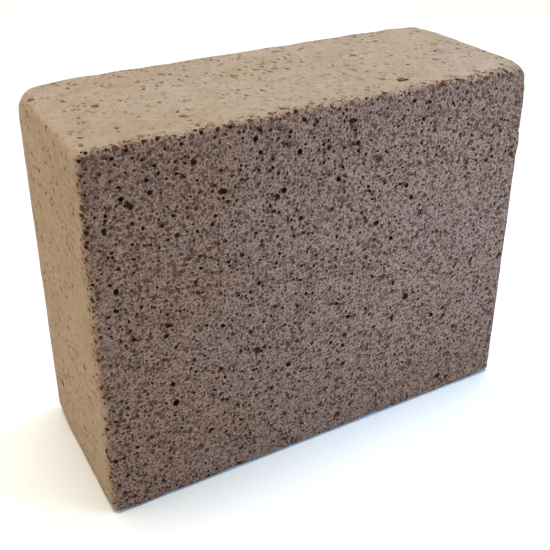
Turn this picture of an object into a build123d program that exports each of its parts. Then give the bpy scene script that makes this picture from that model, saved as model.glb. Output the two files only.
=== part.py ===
"""A hand-held rubbing block of rigid foamed mineral, in millimetres.

The block is one piece, sawn on all six faces. It stands on one of its long narrow faces: X runs along
its length, Y through its thickness from the front working face to the back one, and Z up its height.
The origin is the middle of the face that it stands on.

Its surface cells are left open by the saw. They are texture, up to 2 mm across, so this solid is the
block's outer envelope, without them.
"""

import os

from build123d import *

# Driving dimensions
length = 100.0
thickness = 40.0
height = 80.0

# Edge wear: the friable corners round off where the block has been handled
front_corner_radius = 1.5  # the two upright edges of the front working face
back_corner_radius = 3.0  # the two upright edges of the back face, which are more worn
rim_radius = 1.2  # the edges all round the top face and the standing face

parts_folder = "parts"


def make_block():
    """The sawn block, with its upright edges worn first and its rims second."""
    with BuildPart() as porous_block:
        with BuildSketch(Plane.XY):
            Rectangle(length, thickness)
        extrude(amount=height)

        uprights = porous_block.edges().filter_by(Axis.Z).group_by(Axis.Y)
        fillet(uprights[0], radius=front_corner_radius)
        uprights = porous_block.edges().filter_by(Axis.Z).group_by(Axis.Y)
        fillet(uprights[-1], radius=back_corner_radius)

        rims = porous_block.faces().filter_by(Axis.Z).edges()
        fillet(rims, radius=rim_radius)
    return porous_block


porous_block = make_block()
porous_block.part.label = "porous_block"

os.makedirs(parts_folder, exist_ok=True)
export_step(porous_block.part, f"{parts_folder}/porous_block.step")

size = porous_block.part.bounding_box().size
print(f"porous_block {size.X:.1f} x {size.Y:.1f} x {size.Z:.1f} mm, {porous_block.part.volume / 1000:.1f} cm3")
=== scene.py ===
import math

import bmesh
import bpy
import numpy as np
from mathutils import Euler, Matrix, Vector, noise


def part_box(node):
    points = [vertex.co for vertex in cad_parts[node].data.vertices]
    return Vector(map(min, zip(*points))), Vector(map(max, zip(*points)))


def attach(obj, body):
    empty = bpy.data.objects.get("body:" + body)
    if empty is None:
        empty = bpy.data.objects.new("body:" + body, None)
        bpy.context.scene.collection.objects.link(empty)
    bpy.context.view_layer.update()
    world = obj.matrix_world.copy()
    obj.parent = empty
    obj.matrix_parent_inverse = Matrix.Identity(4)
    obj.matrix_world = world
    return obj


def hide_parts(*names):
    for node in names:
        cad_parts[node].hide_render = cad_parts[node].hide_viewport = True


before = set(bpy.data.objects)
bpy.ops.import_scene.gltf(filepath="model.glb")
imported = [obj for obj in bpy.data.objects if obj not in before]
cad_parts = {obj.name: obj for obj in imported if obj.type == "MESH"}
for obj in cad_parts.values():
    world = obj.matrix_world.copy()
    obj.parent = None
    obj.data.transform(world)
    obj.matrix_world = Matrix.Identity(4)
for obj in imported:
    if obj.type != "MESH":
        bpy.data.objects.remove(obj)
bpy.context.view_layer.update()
low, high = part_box("porous_block")
print("frame loaded, block", [round(v * 1000, 1) for v in high - low], "mm")

mm = 0.001
nodeGrid = (190, -170)      # how far apart nodes are laid out in their editor


def addNode(tree, kind, place=(0, 0), **settings):
    node = tree.nodes.new(kind)
    node.location = (place[0] * nodeGrid[0], place[1] * nodeGrid[1])
    for key, value in settings.items():
        setattr(node, key, value)
    return node


def plug(tree, source, target):
    # a socket is linked, anything else is set as the input's own value
    if isinstance(source, bpy.types.NodeSocket):
        tree.links.new(source, target)
    else:
        target.default_value = source


def mathNode(tree, operation, a, b=None, c=None, place=(0, 0), clamp=False):
    node = addNode(tree, "ShaderNodeMath", place, operation=operation, use_clamp=clamp)
    for socket, value in zip(node.inputs, (a, b, c)):
        if value is not None:
            plug(tree, value, socket)
    return node.outputs[0]


def ramp(tree, value, start, end, toLow=0.0, toHigh=1.0, place=(0, 0)):
    node = addNode(tree, "ShaderNodeMapRange", place, interpolation_type="SMOOTHSTEP")
    for name, v in (("Value", value), ("From Min", start), ("From Max", end),
                    ("To Min", toLow), ("To Max", toHigh)):
        plug(tree, v, node.inputs[name])
    return node.outputs["Result"]


def mixColor(tree, share, a, b, place=(0, 0)):
    node = addNode(tree, "ShaderNodeMix", place, data_type="RGBA")
    node.clamp_factor = True
    plug(tree, share, node.inputs[0])
    plug(tree, a, node.inputs[6])
    plug(tree, b, node.inputs[7])
    return node.outputs[2]


outline = {
    "rimRadius": 1.2 * mm,      # edges round the top and the standing face
    "frontRadius": 1.5 * mm,    # upright edges of the front face
    "backRadius": 3.0 * mm,     # upright edges of the back face
    "uprightReach": 3.0,        # how far from an upright edge its own radius is felt, in radii
    "uprightFade": 1.6,         # how steeply it fades out there
    "sharpest": 0.3 * mm,       # no edge has a smaller radius
    "wobble": 0.55 * mm,        # how unevenly the edges are worn
    "wobbleLength": 5.0 * mm,
    "fineWobble": 0.6,          # a finer wobble on top, as a share of the first
    "fineWobbleLength": 0.37,   # and its length, as a share too
    "reach": 6.0 * mm,          # how far from an edge the fine mesh goes
    "fineStep": 0.65 * mm,
    "coarseStep": 3.0 * mm,
    "flatWithin": 0.4,          # faces that turn by fewer degrees are joined
}

# corners that are worn rounder still: which way each lies, how much radius it gains, and over what distance
wornCorners = {
    "topBackLeft": {"way": (-1, 1, 1), "gain": 0.8 * mm, "reach": 15.0 * mm},
    "topFrontRight": {"way": (1, -1, 1), "gain": 1.4 * mm, "reach": 9.0 * mm},
}


def ticks(start, end):
    # places along one side of the block, close together near both ends
    o = outline
    fine = round(o["reach"] / o["fineStep"])
    head = [start + o["reach"] * i / fine for i in range(fine)]
    tail = [end - o["reach"] * i / fine for i in range(fine)]
    inner = round((end - start - 2 * o["reach"]) / o["coarseStep"])
    middle = [start + o["reach"] + (end - start - 2 * o["reach"]) * i / inner for i in range(inner + 1)]
    return head + middle + tail[::-1]


def wearRadius(p):
    # the rim's radius everywhere, growing to the upright edges' own near them, and more at worn corners
    o = outline
    fromEnd = min(p.x - low.x, high.x - p.x)
    fromFront, fromBack = p.y - low.y, high.y - p.y
    radius = o["rimRadius"]
    for gap, upright in ((fromFront, o["frontRadius"]), (fromBack, o["backRadius"])):
        near = 1 - math.hypot(fromEnd, gap) / (o["uprightReach"] * upright)
        radius += (upright - o["rimRadius"]) * max(0.0, min(1.0, o["uprightFade"] * near))
    for c in wornCorners.values():
        tip = Vector([high[i] if c["way"][i] > 0 else low[i] for i in range(3)])
        worn = max(0.0, 1 - (p - tip).length / c["reach"])
        radius += c["gain"] * worn * worn * (3 - 2 * worn)      # a smooth step from 0 to the gain
    broad = noise.noise(p / o["wobbleLength"])
    fine = noise.noise(p / (o["fineWobbleLength"] * o["wobbleLength"]))
    return radius + o["wobble"] * (broad + o["fineWobble"] * fine)


def wornPlace(p):
    # the sharp box's point p, moved onto the rounded box
    r = max(outline["sharpest"], wearRadius(p))
    core = Vector([min(max(p[i], low[i] + r), high[i] - r) for i in range(3)])
    out = p - core
    return core + out.normalized() * r


def makeOutline():
    # a box with small squares along its edges, worn round point by point
    steps = [ticks(low[i], high[i]) for i in range(3)]
    last = [len(s) - 1 for s in steps]
    found, places, faces = {}, [], []

    def corner(key):
        if key not in found:
            found[key] = len(places)
            places.append(wornPlace(Vector([steps[i][key[i]] for i in range(3)])))
        return found[key]

    for axis in range(3):
        u, v = (axis + 1) % 3, (axis + 2) % 3
        for side in (0, last[axis]):
            for i in range(last[u]):
                for j in range(last[v]):
                    ring = []
                    for du, dv in ((0, 0), (1, 0), (1, 1), (0, 1)):
                        key = [0, 0, 0]
                        key[axis], key[u], key[v] = side, i + du, j + dv
                        ring.append(corner(tuple(key)))
                    faces.append(ring if side else ring[::-1])
    mesh = bpy.data.meshes.new("blockOutline")
    mesh.from_pydata(places, [], faces)
    shape = bmesh.new()
    shape.from_mesh(mesh)
    turn = math.radians(outline["flatWithin"])
    bmesh.ops.dissolve_limit(shape, angle_limit=turn, verts=shape.verts, edges=shape.edges)
    shape.to_mesh(mesh)
    shape.free()
    mesh.update()
    return mesh


# open cells: diameter and spacing in mm; spread is the share by which the diameter varies; sink is how far
# the cell's middle lies under the face, in radii; flat stretches or squeezes it along the face's normal
cells = {
    "sawnLarge": {"diameter": 1.5, "spread": 0.16, "perSquareCm": 0.36, "apart": 3.0, "sink": 0.05,
                  "flat": 1.0, "detail": 2, "seed": 11, "faces": "sawn"},
    "sawnMedium": {"diameter": 1.12, "spread": 0.15, "perSquareCm": 2.4, "apart": 1.3, "sink": 0.05,
                   "flat": 1.1, "detail": 2, "seed": 23, "faces": "sawn"},
    "sawnCommon": {"diameter": 0.9, "spread": 0.15, "perSquareCm": 9.0, "apart": 0.9, "sink": 0.15,
                   "flat": 1.2, "detail": 1, "seed": 29, "faces": "sawn"},
    "sawnSmall": {"diameter": 0.68, "spread": 0.18, "perSquareCm": 17.0, "apart": 0.65, "sink": 0.2,
                  "flat": 1.3, "detail": 1, "seed": 37, "faces": "sawn"},
    "skinLarge": {"diameter": 1.4, "spread": 0.3, "perSquareCm": 0.12, "apart": 4.0, "sink": -0.25,
                  "flat": 0.7, "detail": 2, "seed": 41, "faces": "skin"},
    "skinSmall": {"diameter": 0.85, "spread": 0.4, "perSquareCm": 3.2, "apart": 0.8, "sink": -0.35,
                  "flat": 0.75, "detail": 1, "seed": 53, "faces": "skin"},
    "edgeChips": {"diameter": 0.95, "spread": 0.5, "perSquareCm": 10.0, "apart": 0.6, "sink": -0.1,
                  "flat": 1.0, "detail": 1, "seed": 67, "faces": "edge"},
}
# a few cells broken into one shallow hollow, on the top near its front edge
chip = {"place": (20.0 * mm, -14.6 * mm, 79.9 * mm), "spread": (0.8 * mm, 0.8 * mm, 0.15 * mm), "count": 5,
        "smallest": 0.45 * mm, "largest": 0.75 * mm, "detail": 2, "seed": 5}
# the balls that the cells are cut with: how many kinds, how dented in radii, and the noise that dents them
roughBall = {"kinds": 5, "dent": 0.38, "dentScale": 0.9, "dentDetail": 1.0, "kindStep": 3.7}
# how one cell differs from the next: its width, its tilt in radians, and its sink in radii
variety = {"narrowest": (0.75, 0.75, 0.8), "widest": (1.2, 1.2, 1.2), "tilt": 0.35, "sink": 0.45}
# how squarely a face looks to the front or the back, from 0 to 1: over the first it is sawn, and less than
# the third away from the second it belongs to an edge
facing = {"sawn": 0.5, "edge": 0.6, "edgeSpread": 0.36}
# inputs of one class of cells, with the value that each takes and its unit
sizeInputs = {"Diameter": ("diameter", mm), "Spread": ("spread", 1), "Per Square Metre": ("perSquareCm", 1e4),
              "Apart": ("apart", mm), "Sink": ("sink", 1), "Flat": ("flat", 1)}
countInputs = {"Detail": "detail", "Seed": "seed"}


def ballGroup():
    # a few rough balls of radius 1, to be picked from at random; their faces are marked as cell walls
    tree = bpy.data.node_groups.new("roughBalls", "GeometryNodeTree")
    tree.interface.new_socket("Detail", in_out="INPUT", socket_type="NodeSocketInt")
    tree.interface.new_socket("Dent", in_out="INPUT", socket_type="NodeSocketFloat")
    tree.interface.new_socket("Balls", in_out="OUTPUT", socket_type="NodeSocketGeometry")
    given = addNode(tree, "NodeGroupInput", (0, 0)).outputs
    link = tree.links.new
    ball = addNode(tree, "GeometryNodeMeshIcoSphere", (1, 0))
    ball.inputs["Radius"].default_value = 1.0
    link(given["Detail"], ball.inputs["Subdivisions"])
    mark = addNode(tree, "GeometryNodeStoreNamedAttribute", (2, 0), data_type="BOOLEAN", domain="FACE")
    mark.inputs["Name"].default_value = "inCell"
    link(ball.outputs["Mesh"], mark.inputs["Geometry"])
    next(s for s in mark.inputs if s.name == "Value" and s.type == "BOOLEAN").default_value = True
    gather = addNode(tree, "GeometryNodeJoinGeometry", (7, 0))
    for kind in range(roughBall["kinds"]):
        dents = addNode(tree, "ShaderNodeTexNoise", (3, kind), noise_dimensions="4D")
        dents.inputs["W"].default_value = roughBall["kindStep"] * kind
        dents.inputs["Scale"].default_value = roughBall["dentScale"]
        dents.inputs["Detail"].default_value = roughBall["dentDetail"]
        fromMiddle = mathNode(tree, "SUBTRACT", dents.outputs["Fac"], 0.5, place=(4, kind))
        amount = mathNode(tree, "MULTIPLY", fromMiddle, given["Dent"], place=(5, kind))
        twice = mathNode(tree, "MULTIPLY", amount, 2.0, place=(5, kind))
        way = addNode(tree, "GeometryNodeInputPosition", (4, kind))
        push = addNode(tree, "ShaderNodeVectorMath", (5, kind), operation="SCALE")
        link(way.outputs[0], push.inputs[0])
        link(twice, push.inputs["Scale"])
        dented = addNode(tree, "GeometryNodeSetPosition", (6, kind))
        link(mark.outputs[0], dented.inputs["Geometry"])
        link(push.outputs[0], dented.inputs["Offset"])
        single = addNode(tree, "GeometryNodeGeometryToInstance", (6, kind))
        link(dented.outputs[0], single.inputs[0])
        link(single.outputs[0], gather.inputs[0])
    link(gather.outputs[0], addNode(tree, "NodeGroupOutput", (8, 0)).inputs["Balls"])
    return tree


def cellGroup(roughBalls):
    # one class of cells, scattered over the chosen faces as loose shapes to be cut away
    tree = bpy.data.node_groups.new("scatterCells", "GeometryNodeTree")
    sockets = tree.interface
    sockets.new_socket("Block", in_out="INPUT", socket_type="NodeSocketGeometry")
    sockets.new_socket("Faces", in_out="INPUT", socket_type="NodeSocketBool")
    for name in sizeInputs:
        sockets.new_socket(name, in_out="INPUT", socket_type="NodeSocketFloat")
    for name in countInputs:
        sockets.new_socket(name, in_out="INPUT", socket_type="NodeSocketInt")
    sockets.new_socket("Cells", in_out="OUTPUT", socket_type="NodeSocketGeometry")
    given = addNode(tree, "NodeGroupInput", (0, 0)).outputs
    link = tree.links.new

    points = addNode(tree, "GeometryNodeDistributePointsOnFaces", (1, 0), distribute_method="POISSON")
    link(given["Block"], points.inputs["Mesh"])
    link(given["Faces"], points.inputs["Selection"])
    link(given["Apart"], points.inputs["Distance Min"])
    link(given["Per Square Metre"], points.inputs["Density Max"])
    link(given["Seed"], points.inputs["Seed"])

    radius = mathNode(tree, "MULTIPLY", given["Diameter"], 0.5, place=(1, 2))
    smallest = mathNode(tree, "SUBTRACT", 1.0, given["Spread"], place=(1, 3))
    largest = mathNode(tree, "ADD", 1.0, given["Spread"], place=(1, 4))
    size = addNode(tree, "FunctionNodeRandomValue", (2, 3), data_type="FLOAT")
    link(smallest, size.inputs[2])
    link(largest, size.inputs[3])
    link(given["Seed"], size.inputs["Seed"])
    squash = addNode(tree, "FunctionNodeRandomValue", (2, 4), data_type="FLOAT_VECTOR")
    squash.inputs[0].default_value = variety["narrowest"]
    squash.inputs[1].default_value = variety["widest"]
    link(given["Seed"], squash.inputs["Seed"])
    realRadius = mathNode(tree, "MULTIPLY", radius, size.outputs[1], place=(3, 3))
    shape = addNode(tree, "ShaderNodeCombineXYZ", (3, 4))
    shape.inputs[0].default_value = shape.inputs[1].default_value = 1.0
    link(given["Flat"], shape.inputs[2])
    scale = addNode(tree, "ShaderNodeVectorMath", (4, 4), operation="MULTIPLY")
    link(squash.outputs[0], scale.inputs[0])
    link(shape.outputs[0], scale.inputs[1])
    scaled = addNode(tree, "ShaderNodeVectorMath", (5, 4), operation="SCALE")
    link(scale.outputs[0], scaled.inputs[0])
    link(realRadius, scaled.inputs["Scale"])

    # each cell's middle goes under the face by its sink, more or less
    sinkSpread = addNode(tree, "FunctionNodeRandomValue", (2, 6), data_type="FLOAT")
    sinkSpread.inputs[2].default_value = -variety["sink"]
    sinkSpread.inputs[3].default_value = variety["sink"]
    link(given["Seed"], sinkSpread.inputs["Seed"])
    sink = mathNode(tree, "ADD", given["Sink"], sinkSpread.outputs[1], place=(3, 6))
    depth = mathNode(tree, "MULTIPLY", sink, realRadius, place=(4, 6))
    down = mathNode(tree, "MULTIPLY", depth, -1.0, place=(5, 6))
    offset = addNode(tree, "ShaderNodeVectorMath", (6, 6), operation="SCALE")
    link(points.outputs["Normal"], offset.inputs[0])
    link(down, offset.inputs["Scale"])
    moved = addNode(tree, "GeometryNodeSetPosition", (7, 0))
    link(points.outputs["Points"], moved.inputs["Geometry"])
    link(offset.outputs[0], moved.inputs["Offset"])

    spin = addNode(tree, "FunctionNodeRandomValue", (3, 8), data_type="FLOAT_VECTOR")
    spin.inputs[0].default_value = (-variety["tilt"], -variety["tilt"], 0.0)
    spin.inputs[1].default_value = (variety["tilt"], variety["tilt"], math.tau)
    link(given["Seed"], spin.inputs["Seed"])
    turn = addNode(tree, "FunctionNodeRotateRotation", (4, 8), rotation_space="LOCAL")
    link(points.outputs["Rotation"], turn.inputs["Rotation"])
    link(spin.outputs[0], turn.inputs["Rotate By"])

    balls = addNode(tree, "GeometryNodeGroup", (6, 2), node_tree=roughBalls)
    link(given["Detail"], balls.inputs["Detail"])
    balls.inputs["Dent"].default_value = roughBall["dent"]
    pick = addNode(tree, "FunctionNodeRandomValue", (7, 3), data_type="INT")
    pick.inputs[4].default_value, pick.inputs[5].default_value = 0, roughBall["kinds"] - 1
    link(given["Seed"], pick.inputs["Seed"])

    placed = addNode(tree, "GeometryNodeInstanceOnPoints", (8, 0))
    link(moved.outputs[0], placed.inputs["Points"])
    link(balls.outputs[0], placed.inputs["Instance"])
    placed.inputs["Pick Instance"].default_value = True
    link(pick.outputs[2], placed.inputs["Instance Index"])
    link(turn.outputs[0], placed.inputs["Rotation"])
    link(scaled.outputs[0], placed.inputs["Scale"])
    out = addNode(tree, "NodeGroupOutput", (9, 0))
    link(placed.outputs[0], out.inputs["Cells"])
    return tree


def chipCells(tree, roughBalls, row):
    # the chip's own cells, near each other round its place
    balls = addNode(tree, "GeometryNodeGroup", (4, row + 1), node_tree=roughBalls)
    balls.inputs["Detail"].default_value = chip["detail"]
    balls.inputs["Dent"].default_value = roughBall["dent"]
    cloud = addNode(tree, "GeometryNodePoints", (4, row))
    cloud.inputs["Count"].default_value = chip["count"]
    near = addNode(tree, "FunctionNodeRandomValue", (3, row), data_type="FLOAT_VECTOR")
    near.inputs[0].default_value = [c - d for c, d in zip(chip["place"], chip["spread"])]
    near.inputs[1].default_value = [c + d for c, d in zip(chip["place"], chip["spread"])]
    size = addNode(tree, "FunctionNodeRandomValue", (3, row + 1), data_type="FLOAT")
    size.inputs[2].default_value, size.inputs[3].default_value = chip["smallest"], chip["largest"]
    for draw in (near, size):
        draw.inputs["Seed"].default_value = chip["seed"]
    tree.links.new(near.outputs[0], cloud.inputs["Position"])
    placed = addNode(tree, "GeometryNodeInstanceOnPoints", (5, row))
    tree.links.new(cloud.outputs[0], placed.inputs["Points"])
    tree.links.new(balls.outputs[0], placed.inputs["Instance"])
    placed.inputs["Pick Instance"].default_value = True
    tree.links.new(size.outputs[1], placed.inputs["Scale"])
    return placed.outputs[0]


def blockTree(material):
    # the whole block: every class of cells and the chip are cut out of the worn outline
    tree = bpy.data.node_groups.new("openCells", "GeometryNodeTree")
    sockets = tree.interface
    sockets.new_socket("Block", in_out="INPUT", socket_type="NodeSocketGeometry")
    roughBalls = ballGroup()
    scatter = cellGroup(roughBalls)
    for kind in cells:
        for name in sizeInputs:
            sockets.new_socket(f"{kind} {name}", in_out="INPUT", socket_type="NodeSocketFloat")
        for name in countInputs:
            sockets.new_socket(f"{kind} {name}", in_out="INPUT", socket_type="NodeSocketInt")
    sockets.new_socket("Block", in_out="OUTPUT", socket_type="NodeSocketGeometry")
    given = addNode(tree, "NodeGroupInput", (0, 0)).outputs
    link = tree.links.new

    normal = addNode(tree, "GeometryNodeInputNormal", (0, 2))
    parts = addNode(tree, "ShaderNodeSeparateXYZ", (1, 2))
    link(normal.outputs[0], parts.inputs[0])
    across = mathNode(tree, "ABSOLUTE", parts.outputs["Y"], place=(2, 2))
    sawn = addNode(tree, "FunctionNodeCompare", (3, 2), data_type="FLOAT", operation="GREATER_THAN")
    link(across, sawn.inputs[0])
    sawn.inputs[1].default_value = facing["sawn"]
    skin = addNode(tree, "FunctionNodeBooleanMath", (4, 2), operation="NOT")
    link(sawn.outputs[0], skin.inputs[0])
    edge = addNode(tree, "FunctionNodeCompare", (3, 3), data_type="FLOAT", operation="EQUAL")
    link(across, edge.inputs[0])
    edge.inputs[1].default_value = facing["edge"]
    edge.inputs["Epsilon"].default_value = facing["edgeSpread"]
    chosen = {"sawn": sawn, "skin": skin, "edge": edge}

    cut = addNode(tree, "GeometryNodeMeshBoolean", (6, 0), operation="DIFFERENCE", solver="MANIFOLD")
    link(given["Block"], cut.inputs["Mesh 1"])
    for row, (kind, c) in enumerate(cells.items()):
        group = addNode(tree, "GeometryNodeGroup", (4, row + 3), node_tree=scatter)
        link(given["Block"], group.inputs["Block"])
        link(chosen[c["faces"]].outputs[0], group.inputs["Faces"])
        for name in [*sizeInputs, *countInputs]:
            link(given[f"{kind} {name}"], group.inputs[name])
        link(group.outputs["Cells"], cut.inputs["Mesh 2"])
    link(chipCells(tree, roughBalls, len(cells) + 4), cut.inputs["Mesh 2"])

    # each point keeps how deep it lies under the uncut outline, for the material's painted shade in the cells
    near = addNode(tree, "GeometryNodeProximity", (7, 2), target_element="FACES")
    link(given["Block"], near.inputs[0])
    keep = addNode(tree, "GeometryNodeStoreNamedAttribute", (8, 0), data_type="FLOAT", domain="POINT")
    keep.inputs["Name"].default_value = "cellDepth"
    link(cut.outputs["Mesh"], keep.inputs["Geometry"])
    link(near.outputs["Distance"], next(s for s in keep.inputs if s.name == "Value" and s.type == "VALUE"))
    whole = addNode(tree, "GeometryNodeRealizeInstances", (9, 0))
    link(keep.outputs[0], whole.inputs[0])
    paint = addNode(tree, "GeometryNodeSetMaterial", (10, 0))
    paint.inputs["Material"].default_value = material
    link(whole.outputs[0], paint.inputs["Geometry"])
    out = addNode(tree, "NodeGroupOutput", (11, 0))
    link(paint.outputs[0], out.inputs["Block"])
    return tree


def setInputs(modifier, tree):
    # a modifier's inputs are set by each socket's identifier
    ids = {s.name: s.identifier for s in tree.interface.items_tree if s.in_out == "INPUT"}
    for kind, c in cells.items():
        for name, (key, unit) in sizeInputs.items():
            modifier[ids[f"{kind} {name}"]] = c[key] * unit
        for name, key in countInputs.items():
            modifier[ids[f"{kind} {name}"]] = c[key]


def paintedCellGroup():
    # round cells of one size, painted as shade wherever the surface cuts them, each dark in its own degree
    tree = bpy.data.node_groups.new("paintedCells", "ShaderNodeTree")
    sockets = tree.interface
    sockets.new_socket("Vector", in_out="INPUT", socket_type="NodeSocketVector")
    for name in ("Cell Size", "Smallest", "Largest", "Softness", "Closed Share"):
        sockets.new_socket(name, in_out="INPUT", socket_type="NodeSocketFloat")
    sockets.new_socket("Hollow", in_out="OUTPUT", socket_type="NodeSocketFloat")
    given = addNode(tree, "NodeGroupInput").outputs
    count = mathNode(tree, "DIVIDE", 1.0, given["Cell Size"], place=(1, 0))
    voronoi = addNode(tree, "ShaderNodeTexVoronoi", (2, 0), feature="F1")
    plug(tree, given["Vector"], voronoi.inputs["Vector"])
    plug(tree, count, voronoi.inputs["Scale"])
    chance = addNode(tree, "ShaderNodeSeparateColor", (3, 1))
    plug(tree, voronoi.outputs["Color"], chance.inputs[0])
    radius = addNode(tree, "ShaderNodeMapRange", (4, 1))
    plug(tree, chance.outputs[0], radius.inputs["Value"])
    plug(tree, given["Smallest"], radius.inputs["To Min"])
    plug(tree, given["Largest"], radius.inputs["To Max"])
    outer = mathNode(tree, "ADD", radius.outputs[0], given["Softness"], place=(5, 1))
    inside = ramp(tree, voronoi.outputs["Distance"], radius.outputs[0], outer, 1.0, 0.0, place=(6, 0))
    degree = addNode(tree, "ShaderNodeMapRange", (4, 3))
    plug(tree, chance.outputs[1], degree.inputs["Value"])
    plug(tree, given["Closed Share"], degree.inputs["From Min"])
    hollow = mathNode(tree, "MULTIPLY", inside, degree.outputs[0], place=(7, 0))
    plug(tree, hollow, addNode(tree, "NodeGroupOutput", (8, 0)).inputs["Hollow"])
    return tree


foam = {
    "wall": (0.209, 0.136, 0.104, 1),      # freshly sawn cell walls
    "wallWarm": (0.209, 0.131, 0.094, 1),
    "hollow": (0.080, 0.036, 0.021, 1),    # painted shade inside the open cells and the painted ones
    # painted warm light in the open cells near an edge
    "hollowEdge": (0.094, 0.045, 0.026, 1),
    "pit": (0.120, 0.068, 0.038, 1),       # painted shade inside the cells of the dusty faces
    "dustAndLight": (0.315, 0.248, 0.176, 1),      # fine powder packed into the top, the ends and the standing face, paler than the sawn walls partly from it and partly as painted light falling on the top and the ends
    "dustAndLightPale": (0.335, 0.271, 0.214, 1),
    # painted shade of the shallow cells under the powder, and the powder's faint mottling
    "pitShadeAndMottle": (0.108, 0.067, 0.036, 1),
    "edgeCrumble": 4.0 * mm,               # how far the dust's border strays from the edge, finely
    "edgeWander": 4.5 * mm,                # and over longer stretches
    "edgeOpen": 2.2 * mm,                  # how far into the dust the cells stay open
    "bend": 0.24 * mm,                     # how far the sawn faces' painted cells are bent out of round
    "dustBend": 1.3 * mm,                  # and the filled ones
    "rise": 1.4,                           # how much longer the filled cells are along the block's thickness
    "relief": 0.22 * mm,                   # height of what is painted, for powder and the shaded pits in shares of it
    "dustHeight": 0.8,
    "pitDip": 0.4,
    "specular": 0.15,
}

# noises in the foam: size in mm, how many finer layers ride on it, and how strong they are
foamNoise = {
    "bend": (0.7, 1, 0.55),
    "dustBend": (1.2, 1, 0.55),
    "crumble": (1.1, 3, 0.65),      # the dust's border, finely
    "drift": (6, 1, 0.55),          # and over longer stretches
    "grain": (0.30, 2, 0.55),
    "patch": (18, 4, 0.6),          # warmer and cooler parts
    "cluster": (7, 2, 0.55),        # where the shaded pits gather
    "mottle": (1.4, 4, 0.7),
    "dustBroad": (3, 2, 0.55),
}

# how a noise, a depth or a distance is read: between the first two values it goes from the third to the last
foamRange = {
    "wallGrain": (0.25, 0.75, 0.8, 1.24),
    "warm": (0.35, 0.68, 0.0, 1.0),
    "dustyAndLit": (-0.8 * mm, 0.8 * mm, 0.0, 1.0),
    "openDark": (0.0, 0.80 * mm, 0.0, 1.0),         # painted shade, by how deep a cell goes
    # painted shade in the dusty faces' cells, by how deep they go
    "filledDark": (0.08 * mm, 0.7 * mm, 0.0, 0.9),
    # painted warm light in the cells, by how far they lie from an edge
    "edgeRed": (0.8 * mm, 3.5 * mm, 1.0, 0.0),
    "cluster": (0.35, 0.65, 0.35, 1.35),
    "mottle": (0.45, 0.75, 0.0, 0.30),
    "dustFine": (0.2, 0.8, 0.92, 1.1),
    "dustBroad": (0.35, 0.65, 0.95, 1.05),
    "roughness": (0.2, 0.8, 0.86, 0.98),
}

# cells too small to cut, painted as spots of shade: size in mm, radii as shares of it, how dark they may be
painted = {
    "fine": {"size": 0.52, "smallest": 0.0, "largest": 0.40, "softness": 0.22, "closed": 0.1, "dark": 0.85},
    "small": {"size": 0.78, "smallest": 0.04, "largest": 0.42, "softness": 0.16, "closed": 0.05, "dark": 1.1},
    "middling": {"size": 1.15, "smallest": -0.05, "largest": 0.38, "softness": 0.18, "closed": 0.15,
                 "dark": 1.18},
    "ghost": {"size": 1.6, "smallest": -0.05, "largest": 0.34, "softness": 0.22, "closed": 0.4, "dark": 0.7},
}

# pale walls between those cells, a painted highlight on them and painted shade off them: their width as a
# share of a cell, and the tint on and off them
netting = [("fine", 0.15, 1.35, 0.88), ("small", 0.14, 1.40, 0.92)]

# the same under the dust, where they are soft dark spots: painted shade of the shallow cells there
shadedPits = {
    "speck": {"size": 0.6, "smallest": 0.0, "largest": 0.34, "softness": 0.28, "closed": 0.2, "dark": 0.4},
    "dot": {"size": 1.0, "smallest": 0.0, "largest": 0.36, "softness": 0.26, "closed": 0.4, "dark": 0.95},
    "spot": {"size": 2.0, "smallest": -0.05, "largest": 0.26, "softness": 0.26, "closed": 0.35, "dark": 0.7},
}


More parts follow.
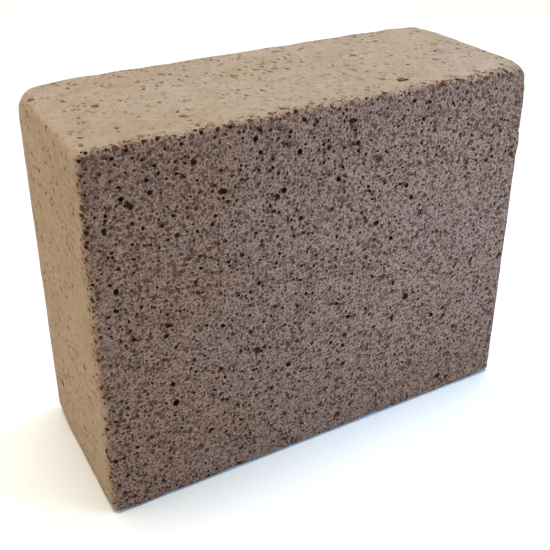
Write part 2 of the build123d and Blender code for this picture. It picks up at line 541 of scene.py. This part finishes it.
def foamMaterial():
    material = bpy.data.materials.new("foamedMineral")
    material.use_nodes = True
    tree = material.node_tree
    tree.nodes.clear()
    link = tree.links.new
    place = addNode(tree, "ShaderNodeTexCoord", (0, 0)).outputs["Object"]
    parts = addNode(tree, "ShaderNodeSeparateXYZ", (1, 2))
    link(place, parts.inputs[0])
    depth = addNode(tree, "ShaderNodeAttribute", (0, 3), attribute_name="cellDepth").outputs["Fac"]

    def noiseAt(name, row, source="Fac"):
        size, layers, strength = foamNoise[name]
        node = addNode(tree, "ShaderNodeTexNoise", (2, row))
        link(place, node.inputs["Vector"])
        node.inputs["Scale"].default_value = 1 / (size * mm)
        node.inputs["Detail"].default_value = layers
        node.inputs["Roughness"].default_value = strength
        return node.outputs[source]

    def rangeOf(name, value, place):
        return ramp(tree, value, *foamRange[name], place=place)

    def bentPlace(name, where, row):
        # round cells look drawn, so their places are bent a little
        bend = addNode(tree, "ShaderNodeVectorMath", (3, row), operation="MULTIPLY_ADD")
        link(noiseAt(name, row, "Color"), bend.inputs[0])
        bend.inputs[1].default_value = (foam[name],) * 3
        link(where, bend.inputs[2])
        return bend.outputs[0]

    bent = bentPlace("bend", place, 5)
    risen = addNode(tree, "ShaderNodeVectorMath", (2, 29), operation="MULTIPLY")
    link(place, risen.inputs[0])
    risen.inputs[1].default_value = (1, 1 / foam["rise"], 1)
    loose = bentPlace("dustBend", risen.outputs[0], 28)

    # below 0 on the sawn faces and above it on the dusty ones, in metres; the border between them wanders
    middle, half = (low + high) / 2, (high - low) / 2
    gaps = []
    for axis in range(3):
        fromMiddle = mathNode(tree, "SUBTRACT", parts.outputs[axis], middle[axis], place=(2, 2 + axis))
        size = mathNode(tree, "ABSOLUTE", fromMiddle, place=(3, 2 + axis))
        gaps.append(mathNode(tree, "SUBTRACT", half[axis], size, place=(4, 2 + axis)))
    dustGap = mathNode(tree, "MINIMUM", gaps[0], gaps[2], place=(5, 2))
    lead = mathNode(tree, "SUBTRACT", gaps[1], dustGap, place=(6, 3))
    wander = mathNode(tree, "SUBTRACT", noiseAt("crumble", 14), 0.5, place=(3, 14))
    crumbled = mathNode(tree, "MULTIPLY_ADD", wander, foam["edgeCrumble"], lead, place=(7, 3))
    drift = mathNode(tree, "SUBTRACT", noiseAt("drift", 15), 0.5, place=(3, 15))
    wandered = mathNode(tree, "MULTIPLY_ADD", drift, foam["edgeWander"], crumbled, place=(8, 3))

    # sawn faces: pale thin walls round cells of every size; the pale walls are a painted highlight and the
    # dark cells painted shade
    group = paintedCellGroup()

    def paintCells(kinds, where, firstRow):
        # 1 where nothing is painted, down to 0 where the painted shade of the cells is darkest
        light = None
        for row, c in enumerate(kinds.values(), firstRow):
            cell = addNode(tree, "ShaderNodeGroup", (4, row), node_tree=group)
            link(where, cell.inputs["Vector"])
            cell.inputs["Cell Size"].default_value = c["size"] * mm
            cell.inputs["Smallest"].default_value = c["smallest"]
            cell.inputs["Largest"].default_value = c["largest"]
            cell.inputs["Softness"].default_value = c["softness"]
            cell.inputs["Closed Share"].default_value = c["closed"]
            hollow = cell.outputs["Hollow"]
            left = mathNode(tree, "MULTIPLY_ADD", hollow, -c["dark"], 1.0, place=(5, row), clamp=True)
            light = mathNode(tree, "MULTIPLY", light, left, place=(6, row)) if light else left
        return light

    light = paintCells(painted, bent, 20)
    # powder covers the walls beyond the border first, and the cells there stay open
    openCells = mathNode(tree, "SUBTRACT", light, 1.0, place=(7, 20))
    reached = mathNode(tree, "MULTIPLY_ADD", openCells, foam["edgeOpen"], wandered, place=(8, 20))
    dustyAndLit = rangeOf("dustyAndLit", reached, (9, 20))
    # a painted highlight on the thin walls between the cells, and painted shade off them
    wallTint = None
    for row, (kind, width, pale, dull) in enumerate(netting, 9):
        edges = addNode(tree, "ShaderNodeTexVoronoi", (3, row), feature="DISTANCE_TO_EDGE")
        link(bent, edges.inputs["Vector"])
        edges.inputs["Scale"].default_value = 1 / (painted[kind]["size"] * mm)
        net = ramp(tree, edges.outputs["Distance"], 0.0, width, pale, dull, place=(4, row))
        wallTint = mathNode(tree, "MULTIPLY", wallTint, net, place=(5, row)) if wallTint else net
    grain = noiseAt("grain", 10)
    grainTint = rangeOf("wallGrain", grain, (4, 10))
    warm = rangeOf("warm", noiseAt("patch", 11), (4, 11))
    wallColor = mixColor(tree, warm, foam["wall"], foam["wallWarm"], (5, 11))
    tint = mathNode(tree, "MULTIPLY", wallTint, grainTint, place=(5, 10))
    wallGrain = addNode(tree, "ShaderNodeVectorMath", (6, 11), operation="SCALE")
    link(wallColor, wallGrain.inputs[0])
    link(tint, wallGrain.inputs["Scale"])
    # painted shade: darker the deeper a cut cell goes, and in the painted cells
    openDark = rangeOf("openDark", depth, (7, 5))
    painting = mathNode(tree, "SUBTRACT", 1.0, light, place=(7, 6))
    dark = mathNode(tree, "MAXIMUM", painting, openDark, place=(8, 6))
    # painted warm light in the cells near an edge, where light grazes in
    fromEdge = mathNode(tree, "ABSOLUTE", lead, place=(7, 8))
    edgeRed = rangeOf("edgeRed", fromEdge, (8, 8))
    hollowColor = mixColor(tree, edgeRed, foam["hollow"], foam["hollowEdge"], (8, 7))
    sawnColor = mixColor(tree, dark, wallGrain.outputs[0], hollowColor, (9, 6))

    # dusty faces: powder fills the cells, and the faces are paler partly from it and partly as painted light;
    # the cells show only as soft dark spots, painted shade of the shallow pits
    spots = mathNode(tree, "SUBTRACT", 1.0, paintCells(shadedPits, loose, 26), place=(7, 26))
    cluster = rangeOf("cluster", noiseAt("cluster", 12), (3, 12))
    spotty = mathNode(tree, "MULTIPLY", spots, cluster, place=(8, 26))
    mottle = rangeOf("mottle", noiseAt("mottle", 13), (5, 13))
    soft = mathNode(tree, "MAXIMUM", spotty, mottle, place=(6, 13))
    # painted shade inside the dusty faces' cut cells, darker deeper in
    filledDark = rangeOf("filledDark", depth, (5, 16))
    # the powder's colour, paler than the walls partly as painted light
    dustAndLightColor = mixColor(tree, warm, foam["dustAndLight"], foam["dustAndLightPale"], (5, 12))
    dustFine = rangeOf("dustFine", grain, (5, 14))
    dustBroad = rangeOf("dustBroad", noiseAt("dustBroad", 17), (5, 17))
    dustTint = mathNode(tree, "MULTIPLY", dustFine, dustBroad, place=(5, 15))
    dustAndLightGrain = addNode(tree, "ShaderNodeVectorMath", (6, 12), operation="SCALE")
    link(dustAndLightColor, dustAndLightGrain.inputs[0])
    link(dustTint, dustAndLightGrain.inputs["Scale"])
    # painted shade of the shallow cells, and faint mottling on the powder
    pitShadedAndMottled = mixColor(tree, soft, dustAndLightGrain.outputs[0], foam["pitShadeAndMottle"], (8, 12))
    dustyAndLitColor = mixColor(tree, filledDark, pitShadedAndMottled, foam["pit"], (9, 12))

    # the dusty faces take the paler colour: partly powder, partly painted light on the top and the ends
    color = mixColor(tree, dustyAndLit, sawnColor, dustyAndLitColor, (10, 8))

    # relief of what is too small to cut
    dustHeight = mathNode(tree, "MULTIPLY_ADD", spotty, -foam["pitDip"], foam["dustHeight"], place=(8, 14))
    heights = addNode(tree, "ShaderNodeMix", (9, 14), data_type="FLOAT")
    plug(tree, dustyAndLit, heights.inputs[0])
    plug(tree, light, heights.inputs[2])
    plug(tree, dustHeight, heights.inputs[3])
    bump = addNode(tree, "ShaderNodeBump", (10, 12))
    bump.inputs["Distance"].default_value = foam["relief"]
    bump.inputs["Strength"].default_value = 1.0
    link(heights.outputs[0], bump.inputs["Height"])
    rough = rangeOf("roughness", grain, (9, 13))

    shader = addNode(tree, "ShaderNodeBsdfPrincipled", (12, 6))
    link(color, shader.inputs["Base Color"])
    link(rough, shader.inputs["Roughness"])
    link(bump.outputs[0], shader.inputs["Normal"])
    shader.inputs["Specular IOR Level"].default_value = foam["specular"]
    out = addNode(tree, "ShaderNodeOutputMaterial", (14, 6))
    link(shader.outputs[0], out.inputs["Surface"])
    return material


def dropCrumbs(mesh):
    # a bit of wall that the cells cut free is thrown away
    shape = bmesh.new()
    shape.from_mesh(mesh)
    rest, bits = set(shape.faces), []
    while rest:
        growing = [rest.pop()]
        bit = list(growing)
        while growing:
            beside = {f for edge in growing.pop().edges for f in edge.link_faces if f in rest}
            rest -= beside
            growing.extend(beside)
            bit.extend(beside)
        bits.append(bit)
    bits.sort(key=len)
    for bit in bits[:-1]:
        bmesh.ops.delete(shape, geom=bit, context="FACES")
    shape.to_mesh(mesh)
    shape.free()


sharpOver = 50      # degrees by which two faces turn before the edge between them looks sharp


def sharpRims(mesh):
    # a cell's rim is sharp; the walls inside a cell and the worn edges are smooth
    faceCount = len(mesh.polygons)
    inCell = np.zeros(faceCount, bool)
    mesh.attributes["inCell"].data.foreach_get("value", inCell)
    loopEdges = np.zeros(len(mesh.loops), np.int32)
    mesh.loops.foreach_get("edge_index", loopEdges)
    totals = np.zeros(faceCount, np.int32)
    mesh.polygons.foreach_get("loop_total", totals)
    inside = np.bincount(loopEdges, np.repeat(inCell, totals), len(mesh.edges))
    mesh.polygons.foreach_set("use_smooth", np.ones(faceCount, bool))
    mesh.set_sharp_from_angle(angle=math.radians(sharpOver))
    sharp = np.zeros(len(mesh.edges), bool)
    mesh.edges.foreach_get("use_edge_sharp", sharp)
    mesh.edges.foreach_set("use_edge_sharp", sharp | (inside == 1))


mapSide = 180       # mm along one side of the square map that the block's sides are laid on
# where each side lies there: the axis it faces, which way, the corner it starts from in mm, and whether it
# is turned
sides = {
    "front": (1, -1, (0, 0), False),
    "back": (1, 1, (100, 0), True),
    "top": (2, 1, (0, 80), False),
    "rightEnd": (0, 1, (100, 100), False),
    "bottom": (2, -1, (0, 120), False),
    "leftEnd": (0, -1, (140, 100), False),
}


def layFlat(mesh):
    # every face is laid on the map with the side it lies nearest to
    corners = np.zeros(len(mesh.vertices) * 3)
    mesh.vertices.foreach_get("co", corners)
    corners = corners.reshape(-1, 3) - np.array(low)
    size = np.array(high - low)
    middles = np.zeros(len(mesh.polygons) * 3)
    mesh.polygons.foreach_get("center", middles)
    middles = middles.reshape(-1, 3) - np.array(low)
    under = []
    for axis, way, _, _ in sides.values():
        under.append(middles[:, axis] if way < 0 else size[axis] - middles[:, axis])
    nearest = np.argmin(under, axis=0)
    loopCorner = np.zeros(len(mesh.loops), np.int32)
    mesh.loops.foreach_get("vertex_index", loopCorner)
    totals = np.zeros(len(mesh.polygons), np.int32)
    mesh.polygons.foreach_get("loop_total", totals)
    loopSide = np.repeat(nearest, totals)
    flat = np.zeros((len(mesh.loops), 2))
    for number, (axis, way, start, turned) in enumerate(sides.values()):
        chosen = loopSide == number
        u, v = [a for a in range(3) if a != axis]
        if turned:
            u, v = v, u
        across = corners[loopCorner[chosen]][:, [u, v]]
        flat[chosen] = (across / mm + start) / mapSide
    chart = mesh.uv_layers.new(name="OFBake")
    chart.data.foreach_set("uv", flat.ravel())


def makeBlock():
    material = foamMaterial()
    tree = blockTree(material)
    raw = bpy.data.objects.new("blockOutline", makeOutline())
    bpy.context.scene.collection.objects.link(raw)
    print("worn outline made,", len(raw.data.polygons), "faces")
    modifier = raw.modifiers.new("openCells", "NODES")
    modifier.node_group = tree
    setInputs(modifier, tree)
    graph = bpy.context.evaluated_depsgraph_get()
    mesh = bpy.data.meshes.new_from_object(raw.evaluated_get(graph), depsgraph=graph)
    raw.modifiers.remove(modifier)
    bpy.data.objects.remove(raw)
    mesh.name = "foamBlock"
    dropCrumbs(mesh)
    sharpRims(mesh)
    layFlat(mesh)
    block = bpy.data.objects.new("foamBlock", mesh)
    bpy.context.scene.collection.objects.link(block)
    mesh.calc_loop_triangles()
    print("cells cut,", len(mesh.loop_triangles), "triangles")
    return block


block = makeBlock()
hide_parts("porous_block")
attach(block, "root")

studio = {
    "floorSize": 1.4,
    "floor": (0.85, 0.91, 0.98, 1),
    "floorRoughness": 0.9,
    "floorSpecular": 0.1,
    "sky": (1.0, 1.0, 1.0, 1),
    "skyStrength": 0.17,        # as light on the block and the floor
    "skyShown": 0.93,           # as the backdrop behind them
}

lamps = {
    "overheadLamp": {"from": (0.0, 0.05, 1.5), "size": 1.2, "watts": 30.6, "color": (1.0, 0.92, 0.76)},
    "warmLamp": {"from": (-0.45, 0.12, 0.10), "size": 0.30, "watts": 1.0, "color": (1.0, 0.66, 0.32)},
    "coolLamp": {"from": (0.042, -0.095, 0.058), "size": 0.05, "watts": 0.073, "color": (0.43, 0.66, 1.0)},
    "coolSideLamp": {"from": (0.10, 0.03, 0.22), "size": 0.08, "watts": 0.16, "color": (0.22, 0.48, 1.0)},
}


def makeFloor():
    half = studio["floorSize"] / 2
    mesh = bpy.data.meshes.new("floor")
    corners = [(-half, -half, 0), (half, -half, 0), (half, half, 0), (-half, half, 0)]
    mesh.from_pydata(corners, [], [(0, 1, 2, 3)])
    floor = bpy.data.objects.new("floor", mesh)
    bpy.context.scene.collection.objects.link(floor)
    material = bpy.data.materials.new("paleFloor")
    material.use_nodes = True
    shader = material.node_tree.nodes["Principled BSDF"]
    shader.inputs["Base Color"].default_value = studio["floor"]
    shader.inputs["Roughness"].default_value = studio["floorRoughness"]
    shader.inputs["Specular IOR Level"].default_value = studio["floorSpecular"]
    mesh.materials.append(material)


def makeLamp(name, lamp):
    data = bpy.data.lights.new(name, "AREA")
    data.shape = "DISK"
    data.size = lamp["size"]
    data.energy = lamp["watts"]
    data.color = lamp["color"]
    holder = bpy.data.objects.new(name, data)
    holder.location = lamp["from"]
    aim = (low + high) / 2 - Vector(lamp["from"])
    holder.rotation_euler = aim.to_track_quat("-Z", "Y").to_euler()
    holder.visible_camera = False       # it lights the block but stays out of the picture
    bpy.context.scene.collection.objects.link(holder)


def makeSky():
    world = bpy.data.worlds.new("softSky")
    world.use_nodes = True
    tree = world.node_tree
    background = tree.nodes["Background"]
    background.inputs["Color"].default_value = studio["sky"]
    shown = addNode(tree, "ShaderNodeLightPath", (-2, 0)).outputs["Is Camera Ray"]
    strength = ramp(tree, shown, 0.0, 1.0, studio["skyStrength"], studio["skyShown"], place=(-1, 0))
    tree.links.new(strength, background.inputs["Strength"])
    bpy.context.scene.world = world


camera = {
    "eye": (-0.0848, -0.1492, 0.1344),
    "turn": 29.24,      # degrees to the right of looking straight at the front face
    "dip": 27.17,       # degrees down
    "lens": 56.55,      # mm, on a sensor of this width
    "sensor": 36,
    "shift": -0.098,
    "nearest": 0.005,
}


def makeCamera():
    data = bpy.data.cameras.new("camera")
    data.lens = camera["lens"]
    data.sensor_width = camera["sensor"]
    data.shift_y = camera["shift"]
    data.clip_start = camera["nearest"]
    holder = bpy.data.objects.new("camera", data)
    holder.location = camera["eye"]
    holder.rotation_euler = Euler((math.radians(90 - camera["dip"]), 0, -math.radians(camera["turn"])))
    bpy.context.scene.collection.objects.link(holder)
    bpy.context.scene.camera = holder


makeFloor()
for name, lamp in lamps.items():
    makeLamp(name, lamp)
makeSky()
makeCamera()
bpy.context.scene.view_settings.view_transform = "Standard"
print("floor, lamps and camera placed")
